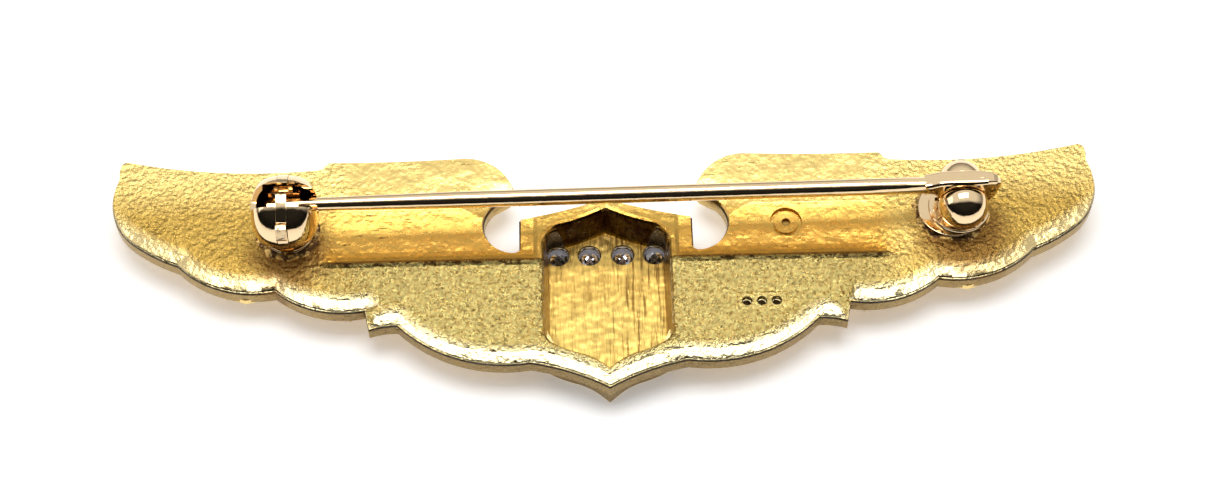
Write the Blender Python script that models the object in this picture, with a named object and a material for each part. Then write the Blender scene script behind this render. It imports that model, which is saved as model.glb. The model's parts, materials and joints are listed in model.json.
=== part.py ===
"""Pilot wings pin, lying face down: the back with its catch, stem and joint looks up along +Z.

X runs along the wingspan, +Y points at the top of the wings, and the shield's front border
stands on z = 0. All named sizes are in millimetres; solids are made in metres.
"""

import math

import bmesh
import bpy
from mathutils import Matrix, Vector

MM = 0.001
GAP = 0.03              # clearance where two fixed pieces meet
CURVE_STEP = 0.45       # longest chord on a curved stretch of an outline

# Plate and shield heights above the resting plane
BACK_Z = 2.9
PLATE_FRONT_Z = 1.6
COVERT_FRONT_Z = 1.15
SHOULDER_FRONT_Z = 0.75
SHIELD_FIELD_Z = 0.25
SHIELD_FLOOR_Z = 0.7
CHANNEL_DEPTH = 0.18

# The drawn outline's origin lies this far above the middle of the badge's height
Y_SHIFT = 0.93

# Half outlines: x, y, and how far the stretch to the next point bows outwards
WING_HALF = [
    (0.0, 3.72, -0.12),
    (5.08, 2.35, 0.0),
    (5.08, 0.35, -0.08),
    (5.5, 0.13, -0.5),
    (7.15, 2.1, -0.12),
    (6.55, 3.35, 0.0),
    (5.8, 3.8, 0.12),
    (5.35, 4.5, 0.62),
    (8.3, 6.75, -0.08),
    (16.35, 6.62, 0.04),
    (16.75, 6.2, -0.04),
    (17.2, 6.1, -0.45),
    (28.3, 6.95, 0.14),
    (28.8, 6.4, -0.04),
    (28.8, 5.6, 0.8),
    (27.4, 1.1, 0.1),
    (24.9, -0.3, 0.78),
    (19.2, -2.15, 0.63),
    (14.0, -3.55, 0.0),
    (13.75, -4.85, -0.08),
    (12.1, -4.6, 1.0),
    (4.5, -7.2, -0.2),
    (0.0, -8.9, 0.0),
]
SHIELD_HALF = [
    (0.0, 2.87, -0.1),
    (2.9, 1.75, 0.06),
    (3.67, 0.75, 0.0),
    (3.67, -5.2, 0.15),
    (3.1, -6.1, 0.05),
    (1.6, -6.75, -0.1),
    (0.0, -7.74, 0.0),
]
COVERT_HALF = [
    (3.6, 2.0, 0.0),
    (6.9, 0.6, 0.0),
    (7.9, 2.2, 0.0),
    (7.3, 3.7, 0.0),
    (6.2, 4.4, 0.5),
    (8.6, 6.2, 0.0),
    (15.9, 6.1, 0.5),
    (17.2, 4.2, 0.35),
    (15.3, 2.6, 0.3),
    (13.2, 0.9, 0.3),
    (11.0, -0.7, 0.3),
    (8.6, -2.2, 0.3),
    (6.0, -3.6, 0.3),
    (3.6, -4.6, 0.0),
]
SHOULDER_HALF = [
    (3.9, 1.4, 0.0),
    (7.2, 0.3, 0.0),
    (8.6, 2.2, 0.0),
    (7.9, 4.0, 0.0),
    (7.0, 4.6, 0.35),
    (8.9, 5.6, 0.0),
    (12.6, 5.5, 0.35),
    (13.2, 4.2, 0.3),
    (11.6, 2.6, 0.25),
    (9.8, 1.0, 0.25),
    (7.8, -0.5, 0.25),
    (5.8, -1.6, 0.25),
    (3.9, -2.4, 0.0),
]
# Grooves between the long flight feathers: inner end and outer end on the right wing
FEATHER_GROOVES = [
    ((16.6, 5.0), (28.6, 5.3)),
    ((16.9, 4.1), (28.9, 3.5)),
    ((16.4, 3.2), (27.7, 1.5)),
    ((15.6, 2.4), (24.9, -0.3)),
    ((14.4, 1.2), (22.2, -1.7)),
    ((13.2, 0.3), (19.2, -2.15)),
    ((12.0, -0.6), (16.6, -3.2)),
    ((10.6, -1.7), (13.9, -3.9)),
    ((8.9, -2.9), (11.2, -5.0)),
    ((7.0, -3.9), (8.6, -6.6)),
]
GROOVE_WIDTH = 0.3
GROOVE_DEPTH = 0.22

# Back channel behind the coverts
CHANNEL_HALF = [
    (2.0, -0.55, 0.0),
    (16.35, -0.62, -0.3),
    (17.0, 0.4, 0.0),
    (16.6, 8.5, 0.0),
    (2.0, 8.5, 0.0),
]

# Shield front
SHIELD_WALL = 0.72
BORDER_WIDTH = 0.5
STRIPE_COUNT = 6
STRIPE_PITCH = 0.95
STRIPE_WIDTH = 0.42
STRIPE_DEPTH = 0.14
STRIPE_TOP_Y = -0.35
STRIPE_BOTTOM_Y = -5.4

# Stones
STONE_X = (-2.85, -0.98, 0.98, 2.85)
STONE_Y = 1.0
STONE_R = 0.8
STONE_TABLE_R = 0.46
STONE_TABLE_Z = 0.1
GIRDLE_Z = 0.31
GIRDLE_THICK = 0.05
CULET_Z = 1.02
SEAT_R = 0.86
HOLE_R = 0.7
SEAT_TOP_Z = 0.42

# Joint for the stem, at the right of the back
JOINT_X = 20.73
JOINT_Y = 2.3
AXIS_Z = BACK_Z + 1.72
PAD_R = 1.97
PAD_SHIFT = -0.43
PAD_TOP = 0.22
COLLAR_R = 1.82
COLLAR_TOP = 0.42
TONGUE_THICK = 1.0
CHEEK_CLEAR = 0.04
NEAR_CHEEK_R = 1.45
FAR_CHEEK_R = 1.32
CHEEK_INSET = 0.2
RIVET_R = 0.36
RIVET_REACH = 0.75
BORE_CLEAR = 0.04

# Stem
STEM_Z = BACK_Z + 2.7
STEM_R = 0.49
STEM_TIP_R = 0.36
STEM_TAPER_X = -9.0
STEM_TIP_X = -19.4
STEM_ROOT_Y = 2.3
STEM_TIP_Y = 1.78
TONGUE = [
    (-2.35, 0.55),
    (-1.95, 0.62),
    (-1.45, 0.1),
    (-1.3, -0.35),
    (-0.9, -0.93),
    (0.0, -1.27),
    (0.82, -0.99),
    (1.4, -0.74),
    (1.68, -0.25),
    (2.03, 0.35),
    (2.16, 1.0),
    (1.95, 1.5),
    (1.45, 1.76),
    (-1.3, 1.78),
    (-1.95, 1.52),
    (-2.35, 1.42),
]

# Catch, at the left of the back
CATCH_X = -18.5
CATCH_Y = 1.52
CATCH_Z = BACK_Z + 2.4
SHELL_HALF_WIDTH = 1.92
SHELL_R = 2.1
SHELL_WALL = 0.36
SHELL_POWER = 2.7
SHELL_FOOT = 2.02
WEB_THICK = 0.25
SLOT_HALF = 0.33
OPENING_HALF_ANGLE = 24.0
OPENING_FROM = 0.3
STEM_OFF_CENTRE = 0.28
PASSAGE_HALF = 0.5
PASSAGE_REACH = 1.15
ROTOR_HALF_THICK = 0.3
ROTOR_R = 2.14
ROTOR_BORE = 0.88
ROTOR_HUB_R = 1.15
ROTOR_HUB_HALF = 0.9
ROTOR_SLOT_HALF = 0.42
LEVER_ANGLE = 152.0
LEVER_HALF_ANGLE = 13.0
LEVER_REACH = 2.72
BASE_R = 1.5
BASE_TOP = 0.34
BASE_GROOVE_FLOOR = 0.17


def clear_scene():
    for obj in list(bpy.data.objects):
        bpy.data.objects.remove(obj)


def metal(name, color, roughness):
    material = bpy.data.materials.new(name)
    material.use_nodes = True
    shader = material.node_tree.nodes["Principled BSDF"]
    shader.inputs["Base Color"].default_value = (*color, 1)
    shader.inputs["Metallic"].default_value = 1.0
    shader.inputs["Roughness"].default_value = roughness
    return material


def stone_glass():
    material = bpy.data.materials.new("stone_glass")
    material.use_nodes = True
    shader = material.node_tree.nodes["Principled BSDF"]
    shader.inputs["Base Color"].default_value = (0.75, 0.78, 0.8, 1)
    shader.inputs["Roughness"].default_value = 0.02
    shader.inputs["IOR"].default_value = 2.2
    shader.inputs["Transmission Weight"].default_value = 0.9
    return material


def arc_between(start, end, bow):
    """Points from start up to but not including end, bowing to the left of the way by bow."""
    start, end = Vector(start), Vector(end)
    if abs(bow) < 1e-6:
        return [start]
    chord = (end - start).length
    radius = (chord * chord / 4 + bow * bow) / (2 * abs(bow))
    sweep = 2 * math.asin(min(1.0, chord / (2 * radius)))
    if abs(bow) > chord / 2:
        sweep = 2 * math.pi - sweep
    steps = max(2, math.ceil(radius * sweep / CURVE_STEP))
    left = Vector((-(end - start).y, (end - start).x)).normalized() * math.copysign(1, bow)
    centre = (start + end) / 2 + left * (abs(bow) - radius)
    turn = -math.copysign(sweep, bow)
    points = []
    for step in range(steps):
        points.append(centre + Matrix.Rotation(turn * step / steps, 2) @ (start - centre))
    return points


def half_points(half):
    """A half outline with its bows as points, moved to the part's frame."""
    points = []
    for (x0, y0, bow), (x1, y1, _) in zip(half, half[1:]):
        points += arc_between((x0, y0), (x1, y1), bow)
    points.append(Vector(half[-1][:2]))
    return [Vector((point.x, point.y + Y_SHIFT)) for point in points]


def mirrored_outline(half):
    """Both halves of an outline that starts and ends on x = 0, anticlockwise."""
    right = half_points(half)
    left = [Vector((-point.x, point.y)) for point in right[1:-1]]
    return left + right[::-1]


def closed_outline(half, side):
    points = half_points(half)
    points = [Vector((side * point.x, point.y)) for point in points]
    return points[::-1] if side > 0 else points


def offset_outline(outline, distance):
    """The outline moved outwards by distance, with mitred corners."""
    moved = []
    for index, point in enumerate(outline):
        before = (point - outline[index - 1]).normalized()
        after = (outline[(index + 1) % len(outline)] - point).normalized()
        normal = Vector((before.y + after.y, -before.x - after.x)).normalized()
        stretch = 1 / max(0.5, normal.dot(Vector((before.y, -before.x))))
        moved.append(point + normal * distance * stretch)
    return moved


def finish_mesh(name, bm, material, smooth=False, helper=False):
    bmesh.ops.recalc_face_normals(bm, faces=bm.faces)
    bmesh.ops.scale(bm, vec=(MM, MM, MM), verts=bm.verts)
    mesh = bpy.data.meshes.new(name)
    bm.to_mesh(mesh)
    bm.free()
    obj = bpy.data.objects.new(name, mesh)
    bpy.context.scene.collection.objects.link(obj)
    if material:
        mesh.materials.append(material)
    if smooth:
        mesh.shade_smooth()
        mesh.set_sharp_from_angle(angle=math.radians(35))
    if helper:
        obj.hide_render = True
        obj.display_type = "WIRE"
    return obj


def loft(rings):
    """A closed solid through rings of (outline, z) that have the same number of points."""
    bm = bmesh.new()
    layers = []
    for outline, z in rings:
        layers.append([bm.verts.new((point.x, point.y, z)) for point in outline])
    count = len(layers[0])
    for lower, upper in zip(layers, layers[1:]):
        for index in range(count):
            after = (index + 1) % count
            bm.faces.new((lower[index], lower[after], upper[after], upper[index]))
    bm.faces.new(layers[0][::-1])
    bm.faces.new(layers[-1])
    return bm


def revolve(profile, axis, steps=48):
    """A full turn of a profile of (along, radius) about the X, Y or Z axis through the origin."""
    bm = bmesh.new()
    verts = [bm.verts.new((along, radius, 0)) for along, radius in profile]
    edges = [bm.edges.new(pair) for pair in zip(verts, verts[1:] + verts[:1])]
    bmesh.ops.spin(bm, geom=verts + edges, cent=(0, 0, 0), axis=(1, 0, 0), angle=math.tau,
                   steps=steps, use_merge=True)
    bmesh.ops.remove_doubles(bm, verts=bm.verts, dist=1e-5)
    bmesh.ops.dissolve_degenerate(bm, edges=bm.edges, dist=1e-5)
    turn = {"X": Matrix(), "Y": Matrix.Rotation(math.pi / 2, 4, "Z"),
            "Z": Matrix.Rotation(-math.pi / 2, 4, "Y")}[axis]
    bmesh.ops.transform(bm, matrix=turn, verts=bm.verts)
    return bm


def solid_profile(start, end, radius):
    return [(start, 0), (end, 0), (end, radius), (start, radius)]


def cylinder(centre, radius, start, end, axis, steps=48):
    bm = revolve(solid_profile(start, end, radius), axis, steps)
    bmesh.ops.translate(bm, vec=centre, verts=bm.verts)
    return bm


def box(low, high):
    bm = bmesh.new()
    bmesh.ops.create_cube(bm, size=1)
    size = [top - bottom for bottom, top in zip(low, high)]
    middle = [(top + bottom) / 2 for bottom, top in zip(low, high)]
    bmesh.ops.scale(bm, vec=size, verts=bm.verts)
    bmesh.ops.translate(bm, vec=middle, verts=bm.verts)
    return bm


def boolean(obj, tool, operation):
    modifier = obj.modifiers.new(tool.name, "BOOLEAN")
    modifier.operation = operation
    modifier.object = tool
    modifier.solver = "EXACT"


def helper(name, bm):
    return finish_mesh(name, bm, None, helper=True)


def cut(obj, name, bm):
    boolean(obj, helper(name, bm), "DIFFERENCE")


def add(obj, name, bm):
    boolean(obj, helper(name, bm), "UNION")


def apply_modifiers(obj):
    graph = bpy.context.evaluated_depsgraph_get()
    mesh = bpy.data.meshes.new_from_object(obj.evaluated_get(graph))
    tools = [modifier.object for modifier in obj.modifiers if modifier.type == "BOOLEAN"]
    obj.modifiers.clear()
    obj.data = mesh
    for tool in tools:
        bpy.data.objects.remove(tool)


def groove(start, end):
    """A V-shaped cutter along the front of the plate."""
    start = Vector((start[0], start[1] + Y_SHIFT))
    end = Vector((end[0], end[1] + Y_SHIFT))
    along = (end - start).normalized()
    side = Vector((-along.y, along.x)) * GROOVE_WIDTH / 2
    end = end + along
    low_z = PLATE_FRONT_Z - 0.9
    slope = side * (1 + 0.9 / GROOVE_DEPTH)
    bm = bmesh.new()
    rings = []
    for point in (start, end):
        ring = [(point - slope, low_z), (point + slope, low_z), (point, PLATE_FRONT_Z + GROOVE_DEPTH)]
        rings.append([bm.verts.new((spot.x, spot.y, z)) for spot, z in ring])
    bm.faces.new(rings[0])
    bm.faces.new(rings[1][::-1])
    for index in range(3):
        after = (index + 1) % 3
        bm.faces.new((rings[0][index], rings[1][index], rings[1][after], rings[0][after]))
    return bm


def badge(gold):
    outline = mirrored_outline(WING_HALF)
    rim = mirrored_outline(SHIELD_HALF)
    body = loft([(outline, PLATE_FRONT_Z), (outline, BACK_Z)])
    obj = finish_mesh("badge", body, gold)
    for side, word in ((1, "right"), (-1, "left")):
        for index, (start, end) in enumerate(FEATHER_GROOVES):
            ends = [(side * spot[0], spot[1]) for spot in (start, end)]
            cut(obj, f"groove_{word}_{index}", groove(*ends))
    apply_modifiers(obj)
    for side, word in ((1, "right"), (-1, "left")):
        covert = closed_outline(COVERT_HALF, side)
        add(obj, f"covert_{word}", loft([(covert, COVERT_FRONT_Z), (covert, PLATE_FRONT_Z + 0.4)]))
        shoulder = closed_outline(SHOULDER_HALF, side)
        add(obj, f"shoulder_{word}", loft([(shoulder, SHOULDER_FRONT_Z), (shoulder, COVERT_FRONT_Z + 0.6)]))
        channel = closed_outline(CHANNEL_HALF, side)
        cut(obj, f"channel_{word}", loft([(channel, BACK_Z - CHANNEL_DEPTH), (channel, BACK_Z + 1)]))
    wall = offset_outline(rim, SHIELD_WALL)
    foot = offset_outline(rim, SHIELD_WALL - 0.12)
    add(obj, "shield_block", loft([(foot, 0), (wall, PLATE_FRONT_Z), (wall, BACK_Z - 0.4)]))
    add(obj, "shield_back", loft([(offset_outline(rim, 0.35), 2.0), (offset_outline(rim, 0.35), BACK_Z)]))
    apply_modifiers(obj)
    field = offset_outline(rim, SHIELD_WALL - BORDER_WIDTH)
    cut(obj, "shield_field", loft([(field, -1), (field, SHIELD_FIELD_Z)]))
    floor = offset_outline(rim, -0.45)
    above = offset_outline(rim, 0.01)
    cut(obj, "recess", loft([(floor, SHIELD_FLOOR_Z), (rim, BACK_Z), (above, BACK_Z + 0.5)]))
    for index in range(STRIPE_COUNT):
        x = (index - (STRIPE_COUNT - 1) / 2) * STRIPE_PITCH
        low = (x - STRIPE_WIDTH / 2, STRIPE_BOTTOM_Y + Y_SHIFT, -1)
        high = (x + STRIPE_WIDTH / 2, STRIPE_TOP_Y + Y_SHIFT, SHIELD_FIELD_Z + STRIPE_DEPTH)
        cut(obj, f"stripe_{index + 1}", box(low, high))
    for index, x in enumerate(STONE_X):
        profile = [(-1, 0), (BACK_Z, 0), (BACK_Z, HOLE_R), (SEAT_TOP_Z + 0.12, HOLE_R),
                   (SEAT_TOP_Z, SEAT_R), (-1, SEAT_R)]
        hole = revolve(profile, "Z", 32)
        bmesh.ops.translate(hole, vec=(x, STONE_Y + Y_SHIFT, 0), verts=hole.verts)
        cut(obj, f"stone_hole_{index + 1}", hole)
    apply_modifiers(obj)
    return obj


def stone(index, x, glass):
    """A round brilliant with its table at the front and its point at the back."""
    bm = bmesh.new()
    rings = [(STONE_TABLE_R, STONE_TABLE_Z), (STONE_R, GIRDLE_Z), (STONE_R, GIRDLE_Z + GIRDLE_THICK)]
    layers = []
    for radius, z in rings:
        made = bmesh.ops.create_circle(bm, segments=16, radius=radius)["verts"]
        bmesh.ops.translate(bm, vec=(0, 0, z), verts=made)
        layers.append(made)
    point = bm.verts.new((0, 0, CULET_Z))
    for lower, upper in zip(layers, layers[1:]):
        for spot in range(16):
            after = (spot + 1) % 16
            bm.faces.new((lower[spot], lower[after], upper[after], upper[spot]))
    for spot in range(16):
        bm.faces.new((layers[-1][spot], layers[-1][(spot + 1) % 16], point))
    bm.faces.new(layers[0][::-1])
    bmesh.ops.translate(bm, vec=(x, STONE_Y + Y_SHIFT, 0), verts=bm.verts)
    return finish_mesh(f"stone_{index}", bm, glass)


def superellipse(along):
    """Outer radius of the catch ball at a distance along X from its middle."""
    part = min(1.0, abs(along) / SHELL_HALF_WIDTH)
    return SHELL_R * (1 - part ** SHELL_POWER) ** (1 / SHELL_POWER)


def shell_profile():
    """Half of the hollow catch ball: outside from the slot to the end, back inside, and the web."""
    outer, inner = [], []
    for step in range(13):
        angle = math.radians(90 * step / 12)
        along = SLOT_HALF + (SHELL_HALF_WIDTH - SLOT_HALF) * math.sin(angle)
        outer.append((along, superellipse(along)))
    reach = SHELL_HALF_WIDTH - SHELL_WALL
    web = SLOT_HALF + WEB_THICK
    for step in range(9):
        angle = math.radians(90 * (8 - step) / 8)
        along = web + (reach - web) * math.sin(angle)
        part = along / reach
        inner.append((along, (SHELL_R - SHELL_WALL) * (1 - part ** SHELL_POWER) ** (1 / SHELL_POWER)
                      if part < 1 else 0.0))
    bore = ROTOR_HUB_R + BORE_CLEAR
    return outer + inner + [(web, bore), (SLOT_HALF, bore)]


def catch_shell(word, side, gold):
    profile = [(side * along, radius) for along, radius in shell_profile()]
    bm = revolve(profile, "X", 56)
    bmesh.ops.translate(bm, vec=(CATCH_X, CATCH_Y + Y_SHIFT, CATCH_Z), verts=bm.verts)
    obj = finish_mesh(f"catch_shell_{word}", bm, gold, smooth=True)
    tangent = math.tan(math.radians(OPENING_HALF_ANGLE))
    top = 4.0
    corners = [(-tangent * OPENING_FROM, OPENING_FROM), (-tangent * top, top),
               (tangent * top, top), (tangent * OPENING_FROM, OPENING_FROM)]
    wedge = bmesh.new()
    near, far = CATCH_X - 3, CATCH_X + 3
    ring = [wedge.verts.new((near, CATCH_Y + Y_SHIFT + y, CATCH_Z + z)) for y, z in corners]
    face = wedge.faces.new(ring)
    made = bmesh.ops.extrude_face_region(wedge, geom=[face])
    moved = [item for item in made["geom"] if isinstance(item, bmesh.types.BMVert)]
    bmesh.ops.translate(wedge, vec=(far - near, 0, 0), verts=moved)
    cut(obj, f"opening_{word}", wedge)
    passage_y = CATCH_Y + Y_SHIFT + STEM_OFF_CENTRE
    low = (CATCH_X - PASSAGE_REACH, passage_y - PASSAGE_HALF, CATCH_Z)
    high = (CATCH_X + PASSAGE_REACH, passage_y + PASSAGE_HALF, CATCH_Z + 4)
    cut(obj, f"passage_{word}", box(low, high))
    foot_z = CATCH_Z - SHELL_FOOT
    cut(obj, f"foot_{word}", box((CATCH_X - 4, CATCH_Y - 3, foot_z - 2), (CATCH_X + 4, CATCH_Y + 5, foot_z)))
    if side > 0:
        half = STEM_TIP_R + 0.2
        stem_y = STEM_TIP_Y + Y_SHIFT + 0.03
        low = (CATCH_X + 0.9, stem_y - half, STEM_Z - half)
        high = (CATCH_X + 4, stem_y + half, CATCH_Z + 4)
        cut(obj, "stem_notch", box(low, high))
    apply_modifiers(obj)
    return obj


def catch_rotor(gold):
    """The C-shaped latch: a flange in the ball's slot on a short hub, with a thumb lever."""
    profile = [(-ROTOR_HUB_HALF, ROTOR_BORE), (-ROTOR_HUB_HALF, ROTOR_HUB_R), (-ROTOR_HALF_THICK, ROTOR_HUB_R),
               (-ROTOR_HALF_THICK, ROTOR_R), (ROTOR_HALF_THICK, ROTOR_R), (ROTOR_HALF_THICK, ROTOR_HUB_R),
               (ROTOR_HUB_HALF, ROTOR_HUB_R), (ROTOR_HUB_HALF, ROTOR_BORE)]
    bm = revolve(profile, "X", 56)
    obj = finish_mesh("catch_rotor", bm, gold, smooth=True)
    lever = bmesh.new()
    half = ROTOR_HALF_THICK
    ring = []
    for radius, spread in ((1.7, 0.9), (LEVER_REACH - 0.15, 1.0), (LEVER_REACH, 0.6)):
        ring.append((radius, math.radians(LEVER_HALF_ANGLE * spread * 2.1 / radius)))
    corners = [(radius, -angle) for radius, angle in ring] + [(radius, angle) for radius, angle in ring[::-1]]
    middle = math.radians(LEVER_ANGLE)
    verts = []
    for radius, angle in corners:
        verts.append(lever.verts.new((-half, radius * math.cos(middle + angle), radius * math.sin(middle + angle))))
    face = lever.faces.new(verts)
    made = bmesh.ops.extrude_face_region(lever, geom=[face])
    moved = [item for item in made["geom"] if isinstance(item, bmesh.types.BMVert)]
    bmesh.ops.translate(lever, vec=(2 * half, 0, 0), verts=moved)
    add(obj, "lever", lever)
    low = (-3, STEM_OFF_CENTRE - ROTOR_SLOT_HALF, 0)
    cut(obj, "rotor_slot", box(low, (3, STEM_OFF_CENTRE + ROTOR_SLOT_HALF, 4)))
    apply_modifiers(obj)
    obj.location = (CATCH_X * MM, (CATCH_Y + Y_SHIFT) * MM, CATCH_Z * MM)
    return obj


def catch_base(gold):
    centre = (CATCH_X, CATCH_Y + Y_SHIFT, BACK_Z)
    bm = revolve([(GAP, 0), (BASE_TOP, 0), (BASE_TOP, BASE_R - 0.12), (BASE_TOP - 0.1, BASE_R),
                  (GAP, BASE_R)], "Z", 40)
    bmesh.ops.translate(bm, vec=centre, verts=bm.verts)
    obj = finish_mesh("catch_base", bm, gold, smooth=True)
    low = (CATCH_X - SLOT_HALF - 0.03, CATCH_Y - 4, BACK_Z + BASE_GROOVE_FLOOR)
    high = (CATCH_X + SLOT_HALF + 0.03, CATCH_Y + 5, BACK_Z + 2)
    cut(obj, "rotor_groove", box(low, high))
    apply_modifiers(obj)
    return obj


def joint_base(gold):
    """A stepped round pad, open towards +X so that the stem's heel can swing through it."""
    bm = revolve([(GAP, 0), (PAD_TOP, 0), (PAD_TOP, PAD_R), (GAP, PAD_R)], "Z", 48)
    bmesh.ops.translate(bm, vec=(JOINT_X + PAD_SHIFT, JOINT_Y + Y_SHIFT, BACK_Z), verts=bm.verts)
    obj = finish_mesh("joint_base", bm, gold, smooth=True)
    collar = revolve([(0.1, 0), (COLLAR_TOP, 0), (COLLAR_TOP, COLLAR_R - 0.15),
                      (COLLAR_TOP - 0.12, COLLAR_R), (0.1, COLLAR_R)], "Z", 48)
    bmesh.ops.translate(collar, vec=(JOINT_X, JOINT_Y + Y_SHIFT, BACK_Z), verts=collar.verts)
    add(obj, "collar", collar)
    half = TONGUE_THICK / 2 + CHEEK_CLEAR + 0.05
    y = JOINT_Y + Y_SHIFT
    cut(obj, "heel_slot", box((JOINT_X - 0.4, y - half, BACK_Z - 1), (JOINT_X + 4, y + half, BACK_Z + 2)))
    cut(obj, "tongue_relief",
        box((JOINT_X - 1.4, y - half, BACK_Z + PAD_TOP + 0.02), (JOINT_X + 4, y + half, BACK_Z + 2)))
    apply_modifiers(obj)
    return obj


def joint_cheek(word, side, radius, gold):
    """A ball cheek beside the tongue, with a blind bore for the rivet and a flat foot."""
    face = TONGUE_THICK / 2 + CHEEK_CLEAR
    reach = face + CHEEK_INSET
    profile = [(face, RIVET_R + 0.01), (face, radius - 0.1), (face + 0.08, radius - 0.02)]
    for step in range(10):
        angle = math.radians(90 * step / 9)
        profile.append((reach + radius * math.sin(angle), radius * math.cos(angle)))
    bottom = TONGUE_THICK / 2 + RIVET_REACH + 0.05
    profile += [(bottom, 0.0), (bottom, RIVET_R + 0.01)]
    profile = [(side * along, size) for along, size in profile]
    bm = revolve(profile, "Y", 48)
    bmesh.ops.translate(bm, vec=(JOINT_X, JOINT_Y + Y_SHIFT, AXIS_Z), verts=bm.verts)
    obj = finish_mesh(f"joint_cheek_{word}", bm, gold, smooth=True)
    foot_z = BACK_Z + COLLAR_TOP + GAP
    cut(obj, f"cheek_foot_{word}", box((JOINT_X - 4, -6, foot_z - 3), (JOINT_X + 4, 12, foot_z)))
    apply_modifiers(obj)
    return obj


def joint_rivet(gold):
    reach = TONGUE_THICK / 2 + RIVET_REACH
    return finish_mesh("joint_rivet", cylinder((JOINT_X, JOINT_Y + Y_SHIFT, AXIS_Z), RIVET_R,
                                               -reach, reach, "Y", 32), gold, smooth=True)


def pin_stem(gold):
    """Tapered wire with a flattened tongue; the origin is on the rivet's axis."""
    rise = STEM_Z - AXIS_Z
    root = Vector((TONGUE[0][0] + 0.9, 0, rise))
    tip = Vector((STEM_TIP_X - JOINT_X, STEM_TIP_Y - STEM_ROOT_Y, rise))
    length = (tip - root).length
    taper = (JOINT_X + root.x - STEM_TAPER_X) / (JOINT_X + root.x - STEM_TIP_X) * length
    profile = [(0, 0), (0, STEM_R), (taper, STEM_R), (length - 0.6, STEM_TIP_R),
               (length - 0.25, STEM_TIP_R * 0.78), (length - 0.06, STEM_TIP_R * 0.4), (length, 0)]
    wire = revolve(profile, "X", 28)
    turn = Vector((1, 0, 0)).rotation_difference(tip - root).to_matrix().to_4x4()
    bmesh.ops.transform(wire, matrix=Matrix.Translation(root) @ turn, verts=wire.verts)
    obj = finish_mesh("pin_stem", wire, gold, smooth=True)
    tongue = bmesh.new()
    ring = [tongue.verts.new((x, -TONGUE_THICK / 2, z)) for x, z in TONGUE]
    face = tongue.faces.new(ring)
    made = bmesh.ops.extrude_face_region(tongue, geom=[face])
    moved = [item for item in made["geom"] if isinstance(item, bmesh.types.BMVert)]
    bmesh.ops.translate(tongue, vec=(0, TONGUE_THICK, 0), verts=moved)
    add(obj, "tongue", tongue)
    cut(obj, "rivet_bore", revolve(solid_profile(-2, 2, RIVET_R + BORE_CLEAR), "Y", 32))
    apply_modifiers(obj)
    obj.location = (JOINT_X * MM, (JOINT_Y + Y_SHIFT) * MM, AXIS_Z * MM)
    return obj


def main():
    clear_scene()
    satin = metal("gold_satin", (0.86, 0.66, 0.28), 0.42)
    polished = metal("gold_polished", (0.9, 0.68, 0.42), 0.12)
    glass = stone_glass()
    badge(satin)
    for index, x in enumerate(STONE_X):
        stone(index + 1, x, glass)
    catch_base(polished)
    catch_shell("left", -1, polished)
    catch_shell("right", 1, polished)
    catch_rotor(polished)
    joint_base(polished)
    joint_cheek("near", -1, NEAR_CHEEK_R, polished)
    joint_cheek("far", 1, FAR_CHEEK_R, polished)
    joint_rivet(polished)
    pin_stem(polished)


main()
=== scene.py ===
import json
import math

import bmesh
import bpy
from mathutils import Matrix, Vector, geometry, noise


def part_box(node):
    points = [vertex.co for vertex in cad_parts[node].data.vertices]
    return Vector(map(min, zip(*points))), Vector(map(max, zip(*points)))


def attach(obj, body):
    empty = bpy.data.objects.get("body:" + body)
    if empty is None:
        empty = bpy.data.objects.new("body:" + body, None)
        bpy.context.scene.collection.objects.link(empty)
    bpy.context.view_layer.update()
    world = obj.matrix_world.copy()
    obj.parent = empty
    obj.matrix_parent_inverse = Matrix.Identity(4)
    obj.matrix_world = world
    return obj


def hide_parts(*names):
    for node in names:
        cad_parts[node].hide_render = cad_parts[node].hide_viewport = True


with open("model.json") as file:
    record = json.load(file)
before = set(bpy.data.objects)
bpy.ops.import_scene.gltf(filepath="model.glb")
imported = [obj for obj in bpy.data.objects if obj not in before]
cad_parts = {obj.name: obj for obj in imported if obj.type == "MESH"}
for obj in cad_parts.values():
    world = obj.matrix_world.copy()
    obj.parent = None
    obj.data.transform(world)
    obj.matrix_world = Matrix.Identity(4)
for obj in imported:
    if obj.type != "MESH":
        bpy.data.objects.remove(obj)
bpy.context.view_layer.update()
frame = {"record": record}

MM = 0.001

# Places taken from the CAD frame, in millimetres
JOINTS = {joint["name"]: joint for joint in frame["record"]["behaviour"]["joints"]}
HINGE = Vector(JOINTS["stem_hinge"]["pos_m"]) / MM
CATCH = Vector(JOINTS["latch_turn"]["pos_m"]) / MM
BACK_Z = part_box("badge")[1][2] / MM

# The drawn outlines' origin lies this far above the middle of the badge's height
Y_SHIFT = 0.93
CURVE_STEP = 0.25

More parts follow.
